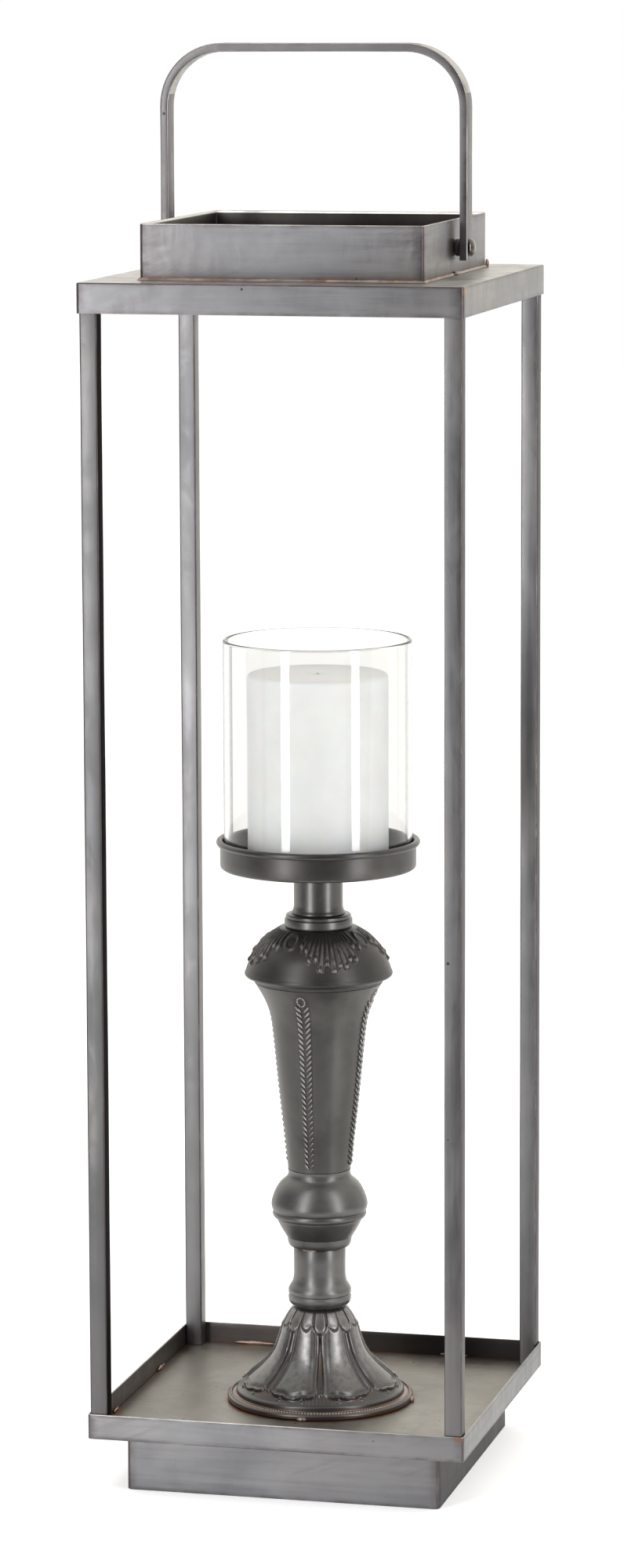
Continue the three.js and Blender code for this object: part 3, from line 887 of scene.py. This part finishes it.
def ramp(value, low, high):
    """Eases from 0 at low to 1 at high."""
    t = min(max((value - low) / (high - low), 0.0), 1.0)
    return t * t * (3 - 2 * t)


def bump(value, middle, half):
    """A rounded ridge of height 1 about the middle."""
    return 1 - ramp(abs(value - middle), 0.0, half)


def sector(bearing, start, count):
    """Place of a bearing in its share of a ring, from -1 to 1."""
    share = 360 / count
    return ((bearing - start) % share) / share * 2 - 1


def foot_field(bearing, radius, height):
    """Eight tulip petals with raised hems, dots and rays between them, under a ring of leaf tips."""
    across = sector(bearing, VALLEY, 8)
    u = abs(across)
    from_valley = (1 - u) * radius * math.pi / 8
    hem = 0.5 + 1.1 * ramp(height, 36, 11)
    end = 8.2 + 4.2 * u ** 3 + 0.8 * (1 - abs(math.cos(math.pi * across * 1.45)))
    inside = min(from_valley - hem, 1.3 * (height - end))
    full = math.sqrt(max(1 - u * u, 0.0)) * ramp(inside, 1.4, 4.5)
    rise = bump(inside, 0.7, 1.15) + 0.85 * full + 0.45 * ramp(inside, -0.4, 0.6)
    hollow = max(bump(inside, -0.5, 0.85), 0.45 * bump(inside, 1.7, 0.7))
    below = ramp(height, end + 1.0, end - 0.3)
    if below > 0:
        rays = 0.5 + 0.5 * math.cos(math.radians(bearing - VALLEY) * 144)
        fan = below * ramp(u, 0.35, 0.8) * ramp(height, 6.6, 7.2)
        rise += 0.35 * rays * fan
        hollow = max(hollow, 0.7 * (1 - rays) * fan)
    for dot_u, dot_height, size in ((1.0, 11.0, 1.5), (0.42, 8.0, 1.15)):
        away = math.hypot((u - dot_u) * radius * math.pi / 8, 1.4 * (height - dot_height))
        rise = max(rise, 1.3 * (1 - ramp(away, 0.0, size)))
        hollow *= ramp(away, size * 0.5, size)
    tip = sector(bearing, VALLEY - 11.25, 16)
    longer = 1.6 if int(((bearing - VALLEY + 11.25) % 360) / 22.5) % 2 else 0.0
    tip_end = 39.3 + longer + 4.0 * tip * tip
    in_tip = height - tip_end
    if in_tip > -1.2:
        leaf = ramp(in_tip, -0.3, 0.5) * (1 - ramp(abs(tip), 0.72, 0.95))
        bulb = bump(in_tip, 1.2, 1.5) * (1 - ramp(abs(tip), 0.3, 0.7))
        rise = (1 - ramp(in_tip, -1.0, 0.2)) * rise + leaf + 0.45 * bulb
        rise *= 1 - ramp(height, 49.0, 51.5)
        beside = ramp(abs(tip), 0.7, 0.95) * ramp(in_tip, -0.8, 0.4)
        hollow = max(hollow * (1 - leaf), beside, bump(in_tip, -0.5, 0.7))
    return rise, hollow


def dome_field(bearing, radius, height):
    """Four spreading leaves of curled fronds, with a scroll between each two."""
    across = sector(bearing, SCROLL - 45, 4) * math.pi / 4 * radius
    down = 1.25 * (29.2 - height)
    spread = math.degrees(math.atan2(across + 0.05 * across * abs(across) ** 0.5, down + 12))
    share = spread / 7.2
    frond = math.floor(share + 0.5)
    beside = abs(share - frond) * 2
    reach = 23.5 - 0.0072 * spread * spread - (3.4 if frond % 2 else 0.0) + 0.9 * math.sin(frond * 2.3)
    inside = reach - down
    in_leaf = 1 - ramp(abs(spread), 44, 47)
    blade = (1 - ramp(beside, 0.35, 0.9)) * ramp(inside, -0.3, 0.5)
    rise = in_leaf * blade * (0.3 + 0.5 * ramp(down, 0.5, 9))
    curled = bump(inside, 1.3, 1.6) * (1 - ramp(beside, 0.2, 1.0))
    rise += 0.55 * curled * in_leaf
    rise -= 0.35 * in_leaf * bump(inside, 3.6, 1.4) * (1 - ramp(beside, 0.1, 0.5))
    hollow = in_leaf * ramp(beside, 0.6, 0.95) * ramp(inside, 0.0, 1.5) * ramp(down, 1, 8)
    hollow = max(hollow, 0.8 * in_leaf * bump(inside, -0.5, 0.9) * (1 - ramp(beside, 0.3, 0.8)))
    scroll_across = sector(bearing, SCROLL, 4) * math.pi / 4 * radius
    away = math.hypot(scroll_across / 4.2, (down - 5.5) / 5.0)
    curl = bump(away, 0.8, 0.32)
    rise = max(rise, 0.6 * curl)
    hollow = max(hollow * (1 - curl), 0.35 * bump(away, 0.35, 0.3))
    fade = ramp(height, 5.5, 9.0) * (1 - ramp(height, 28.4, 29.2))
    return max(rise, 0.0) * fade, hollow * fade


def vase_field(bearing, radius, height):
    """Only the soiled ground under the four ears."""
    half = 3.1 + 2.0 * ramp(height, 0, 95)
    across = abs(sector(bearing, EAR - 45, 4)) * math.pi / 4 * radius
    ends = ramp(height, 1, 4) * (1 - ramp(height, 97, 99))
    return 0.0, 0.75 * (1 - ramp(across, half * 0.5, half + 0.8)) * ends


def skin_at(skin, height):
    """Radius and lean of a skin at a height. Past its ends the radius is larger than any piece."""
    for (r0, h0), (r1, h1) in zip(skin, skin[1:]):
        if h0 <= height <= h1 and h1 > h0:
            return r0 + (r1 - r0) * (height - h0) / (h1 - h0), math.atan2(r1 - r0, h1 - h0)
    return 1000.0, 0.0


def emboss(obj, skin, base, field, depth, above):
    """Raises a turning's skin by the field, and marks on it what stands proud and what is hollow."""
    rising = [point for point in skin if point[1] >= above - 0.5]
    mesh = obj.data
    raised = obj.vertex_groups.new(name="raised")
    proud, sunken = [0.0] * len(mesh.vertices), [0.0] * len(mesh.vertices)
    levels = {}
    for vertex in mesh.vertices:
        x, y, z = vertex.co
        height = (z - base) / MM
        if height < above:
            continue
        key = round(height, 3)
        if key not in levels:
            levels[key] = skin_at(rising, height)[0]
        radius = math.hypot(x, y) / MM
        if abs(radius - levels[key]) > 0.05:
            continue
        rise, hollow = field(math.degrees(math.atan2(x, -y)), radius, height)
        raised.add([vertex.index], min(rise / depth, 1.0), "REPLACE")
        proud[vertex.index] = min(rise / depth, 1.0)
        sunken[vertex.index] = min(hollow, 1.0)
    mesh.attributes.new("relief", "FLOAT", "POINT").data.foreach_set("value", proud)
    mesh.attributes.new("hollow", "FLOAT", "POINT").data.foreach_set("value", sunken)
    modify(obj, "DISPLACE", vertex_group="raised", direction="NORMAL", strength=depth * MM, mid_level=0)
    obj.vertex_groups.clear()


emboss(vase, vase_skin, vase_base, vase_field, 1.0, 0.4)
on_stand(vase, vase_iron, "vase_stem")

foot_skin = outline([
    (49.6, 0), (50.1, 0.5), (50.1, 1.9), (49.7, 2.6), (48.6, 3.2), (46.0, 3.2), (45.4, 3.4), (45.3, 3.8),
    (45.3, 5.2), (45.1, 5.7), (44.6, 6.1),
    [(44.4, 6.3), (43.4, 7), (38.2, 12.0), (29.8, 19.6), (24.0, 26.9), (20.6, 36), (19.3, 41), (16.4, 46.6),
     (12.8, 51.2)], (12.6, 51.8)], 0.62)
foot = cast("foot_casting", foot_skin, foot_low.z, wall=3, seats=(False, True), steps=384)
emboss(foot, foot_skin, foot_low.z, foot_field, 1.45, 6.2)
on_stand(foot, foot_iron, "foot", angle=60)

dome_base = base_of("dome_cap")
dome_skin = outline([(34.5, 0), [(34.6, 0.3), (35.0, 1.3), (35.8, 2.3)], (36.3, 2.5),
                     [(37.4, 2.6), (38.8, 3.0), (39.5, 3.8), (39.6, 4.6), (39.3, 5.5)],
                     [(39.0, 5.9), (37.9, 9.2), (34.4, 16.2), (27.2, 24.3), (20.6, 29.0)], (20.4, 29.2)], 0.5)
dome = cast("dome_casting", dome_skin, dome_base, steps=480)
emboss(dome, dome_skin, dome_base, dome_field, 1.2, 4.5)
on_stand(dome, dome_iron, "dome_cap", angle=60)


def joined(pieces, name):
    """Makes one mesh of placed copies, and settles their places in it."""
    deselect()
    for piece in pieces:
        piece.select_set(True)
    bpy.context.view_layer.objects.active = pieces[0]
    bpy.ops.object.join()
    obj = bpy.context.object
    obj.name = obj.data.name = name
    settle()
    return obj


def copies(model, places):
    """Copies of a small model with their own meshes, one at each place."""
    pieces = []
    for place in places:
        piece = model.copy()
        piece.data = model.data.copy()
        scene.collection.objects.link(piece)
        piece.matrix_world = place
        pieces.append(piece)
    bpy.data.objects.remove(model)
    return pieces


def on_ring(bearing, radius, height, lean=0.0, tilt=0.0):
    """A place on a turning: facing outwards at the bearing, leaning with the skin, tilted in its own face."""
    turn = Matrix.Rotation(math.radians(bearing), 4, "Z")
    out = Matrix.Translation((0, -radius, height))
    return turn @ out @ Matrix.Rotation(lean, 4, "X") @ Matrix.Rotation(tilt, 4, "Y")


def shaped_ball(name, segments, rings, radius, size):
    """A ball drawn out to a grain or squashed to a bead."""
    deselect()
    bpy.ops.mesh.primitive_uv_sphere_add(segments=segments, ring_count=rings, radius=radius)
    obj = begin(name)
    everything()
    bpy.ops.transform.resize(value=size, center_override=(0, 0, 0))
    leave_edit()
    bpy.ops.object.shade_smooth()
    return obj


def rubbed(obj, amount):
    """Marks a whole piece as standing proud."""
    marks = obj.data.attributes.new("relief", "FLOAT", "POINT")
    marks.data.foreach_set("value", [amount] * len(obj.data.vertices))


GRAIN_SIZE = (1.5 * MM, 1.9 * MM, 4.9 * MM)
PAIRS, PAIR_PITCH, TOP_PAIR = 30, 3.02, 91.5
LOOP_GRAINS, LOOP_HEIGHT, LOOP_ACROSS, LOOP_UP = 10, 96, 2.0, 2.6
BEADS, BEAD_RING, BEAD_HEIGHT = 184, 48.2 * MM, 3.15 * MM


def vase_ear(index, bearing):
    """An ear of grain: slanting pairs down the vase, with a loop at its head."""
    places = []
    for pair in range(PAIRS):
        height = TOP_PAIR - pair * PAIR_PITCH
        radius, lean = skin_at(vase_skin, height)
        size = 0.6 + 0.4 * height / 92
        for side in (-1, 1):
            aside = math.degrees(side * 2.15 * size / radius)
            place = on_ring(bearing + aside, (radius + 0.3) * MM, vase_base + height * MM, lean, side * 0.66)
            places.append(place @ Matrix.Diagonal((size, 1, 0.35 + 0.65 * size, 1)))
    for step in range(LOOP_GRAINS):
        turn = 2 * math.pi * step / LOOP_GRAINS
        across, up = LOOP_ACROSS * math.sin(turn), LOOP_UP * math.cos(turn)
        height = LOOP_HEIGHT + LOOP_UP * math.sin(turn)
        radius, lean = skin_at(vase_skin, height)
        aside = math.degrees(LOOP_ACROSS * math.cos(turn) / radius)
        place = on_ring(bearing + aside, radius * MM, vase_base + height * MM, lean, -math.atan2(across, up))
        places.append(place @ Matrix.Diagonal((0.7, 0.8, 0.42, 1)))
    ear = joined(copies(shaped_ball("grain", 8, 6, 0.5, GRAIN_SIZE), places), f"vase_ear_{index}")
    rubbed(ear, 0.95)
    on_stand(ear, ear_iron, angle=60)


for index in range(4):
    vase_ear(index + 1, EAR + 90 * index)


def bead_ring():
    """The milled beads round the step of the foot."""
    bead = shaped_ball("bead", 7, 5, 0.78 * MM, (1.06, 0.9, 0.94))
    places = [on_ring(VALLEY + 360 * index / BEADS, BEAD_RING, foot_low.z + BEAD_HEIGHT)
              for index in range(BEADS)]
    ring = joined(copies(bead, places), "foot_beading")
    rubbed(ring, 0.8)
    on_stand(ring, ear_iron, angle=60)


bead_ring()

# -------- pan, glass, candle and rivets
pan_bead = arc((52.6, 14), (1.75, 1.75), -98, 27.5, 11)
pan_profile = [(0, 0), (14, 0), (48, 0), (50.4, 0), (51.3, 0.25), (52.0, 0.8), (52.3, 1.7), (52.3, 6),
               (52.3, 11.6), *pan_bead, (51.3, 11.9), (51.3, 6), (51.3, 2.4), (51.0, 1.6), (50.2, 1.2),
               (30, 1.2), (0, 1.2)]
on_stand(turn("pan_pressing", pan_profile, base_of("candle_cup"), 128), pan_iron, "candle_cup", angle=40)

GLASS_TOP = 121.2
GLASS_INNER, GLASS_OUTER = 48.0, 50.2
top_lip = arc((49.1, GLASS_TOP - 1.1), (1.1, 1.1), 0, 30, 7)
foot_lip = arc((49.1, 1.1), (1.1, 1.1), 180, 30, 7)
up_the_glass = (1.5, 2.5, 40, 80, GLASS_TOP - 2.5, GLASS_TOP - 1.5)
sleeve = turn("glass_tube", [*top_lip, *[(GLASS_INNER, height) for height in up_the_glass[::-1]], *foot_lip,
                             *[(GLASS_OUTER, height) for height in up_the_glass], top_lip[0]],
              base_of("glass_sleeve"), 144)
done(sleeve, sleeve_glass, "glass", ["glass_sleeve"], 60)

WAX_RADIUS = 37.7
pillar = turn("pillar_candle", outline([
    (0, 2.5), (1.2, 2.5), (1.2, 101.2), (2.2, 101.5), [(3.2, 102.5), (5, 103.0), (9, 103.2)], (22, 103.2),
    (34, 103.2), (35.8, 103.05), (36.8, 102.6), (37.4, 101.8), (37.65, 100.6),
    *[(WAX_RADIUS, height) for height in (98, 90, 70, 50, 30, 10)],
    (37.6, 2.2), (37.1, 1.0), (36.2, 0.2), (35, 0), (0, 0)]), base_of("candle"), 128)
unevenness(pillar, 0.35 * MM)
done(pillar, candle_wax, "candle", ["candle"], 50)


def laid(obj, hand):
    """Lays an upright turning along X, to the right or to the left, at the height of the pivot."""
    select_only(obj)
    obj.rotation_euler = (0, hand * math.pi / 2, 0)
    obj.location = (0, 0, PIVOT)
    settle()
    return obj


# profiles of a rivet and a spacer, whose heights are distances from the middle of the lantern
rivet_profile = [*arc((0, 73.7), (4.2, -1.8), 90, -15, 6), (4.2, 73.7), (2.5, 73.7), (2.5, 83.0), (4.5, 83.0),
                 (4.8, 83.25), *arc((0, 83.0), (4.8, 2.6), 15, 15, 6)]
spacer_profile = [(2.65, 75.3), (4.3, 75.3), (4.5, 75.5), (4.5, 77.5), (4.3, 77.7), (2.65, 77.7),
                  (2.65, 75.3)]
for name, hand in (("left", -1), ("right", 1)):
    rivet = laid(turn(f"rivet_{name}_turned", rivet_profile, 0, 32), hand)
    unevenness(rivet, 0.2 * MM)
    done(rivet, rivet_iron, "frame", [f"rivet_{name}"], 40)
    spacer = laid(turn(f"spacer_{name}_turned", spacer_profile, 0, 40), hand)
    on_frame(spacer, bar_steel, f"spacer_{name}", angle=40)


# -------- welds
def lumpy(obj, depth):
    modify(obj, "DISPLACE", texture=beading, texture_coords="LOCAL", strength=depth, mid_level=0.5)
    on_frame(obj, weld_bead, angle=60)


def weld_fillet(name, half, foot_half, low, high):
    """A thin bead of weld round a square joint: a leaning band given thickness and made lumpy."""
    middle = (low + high) / 2
    size = (2 * foot_half, 2 * foot_half, high - low)
    obj = box_shell(name, (0, 0, middle), size, lambda f: abs(f.normal.z) > 0.9)
    pick("verts", lambda v: v.co.z > middle)
    bpy.ops.transform.resize(value=(half / foot_half, half / foot_half, 1), center_override=(0, 0, high))
    pick("edges", lambda e: climb(e) < HAIR)
    bpy.ops.mesh.subdivide(number_cuts=90)
    leave_edit()
    modify(obj, "SOLIDIFY", thickness=0.5 * MM, offset=-1)
    lumpy(obj, 0.5 * MM)


def weld_lumps(name, lumps):
    """Tacks of weld, each a squashed ball: x, y, z, its turn in degrees and its sizes, in millimetres."""
    places = []
    for x, y, z, turn, size in lumps:
        place = Matrix.Translation((x * MM, y * MM, z * MM)) @ Matrix.Rotation(math.radians(turn), 4, "Z")
        places.append(place @ Matrix.Diagonal((*[v / 2 for v in size], 1)))
    deselect()
    bpy.ops.mesh.primitive_ico_sphere_add(subdivisions=3, radius=MM)
    lumpy(joined(copies(bpy.context.object, places), name), 0.9 * MM)


def tack_round(bearing, radius, height, size):
    """A tack beside the stand, at a bearing."""
    turn = math.radians(bearing)
    return radius * math.sin(turn), -radius * math.cos(turn), height, bearing, size


floor_top, lid_top = floor_high.z / MM, lid_high.z / MM
foot_sizes = {2: (6, 3, 2.6), 93: (5, 3, 3.4), 183: (7, 3, 2.4), 267: (6, 3, 3.0)}
weld_lumps("foot_tacks", [tack_round(bearing, 50, floor_top + 0.9, size)
                          for bearing, size in foot_sizes.items()])
weld_lumps("tray_tacks", [(-62, 99.8, floor_top + 0.8, 0, (24, 1.6, 2.2)),
                          (-18, 99.9, floor_top + 0.7, 0, (9, 1.4, 1.8)),
                          (52, 99.8, floor_top + 0.7, 0, (16, 1.6, 1.8)),
                          (-99.8, 38, floor_top + 0.8, 90, (14, 1.6, 2.2)),
                          (-99.8, -52, floor_top + 0.7, 90, (10, 1.5, 2.0)),
                          (99.8, 20, floor_top + 0.7, 90, (13, 1.5, 2.0)),
                          (20, -99.8, floor_top + 0.7, 0, (18, 1.5, 2.0))])
weld_lumps("stand_tacks", [tack_round(bearing, 14.0, 117.4, (8, 1.6, 1.3)) for bearing in (-10, 112, 231)])
weld_lumps("collar_spur", [(75.5, 75.3, lid_top + 1.6, 45, (2.0, 1.6, 5.0)),
                           (75.8, -2, lid_top + 0.8, 90, (9, 1.8, 2.0)),
                           (-75.6, 12, lid_top + 0.8, 90, (8, 1.8, 2.0))])
weld_fillet("collar_weld", collar_high.x + 0.15 * MM, collar_high.x + 1.0 * MM, lid_high.z + 0.05 * MM,
            lid_high.z + 1.15 * MM)


# -------- floor and finish
FLOOR_SIZE, FLOOR_FRONT = 8.0, 0.45  # the paper ends a little in front of the lantern
deselect()
bpy.ops.mesh.primitive_plane_add(size=FLOOR_SIZE, location=(0, FLOOR_SIZE / 2 - FLOOR_FRONT, 0))
studio_floor = bpy.context.object
studio_floor.name = "studio_floor"
studio_floor.data.materials.append(floor_paper)

for node, material in {"tie_rod": zinc_plate, "cup_nut": zinc_plate, "base_nut": zinc_plate,
                       "base_washer": zinc_plate, "wick": wick_cotton}.items():
    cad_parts[node].data.materials.clear()
    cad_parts[node].data.materials.append(material)

bpy.context.view_layer.update()
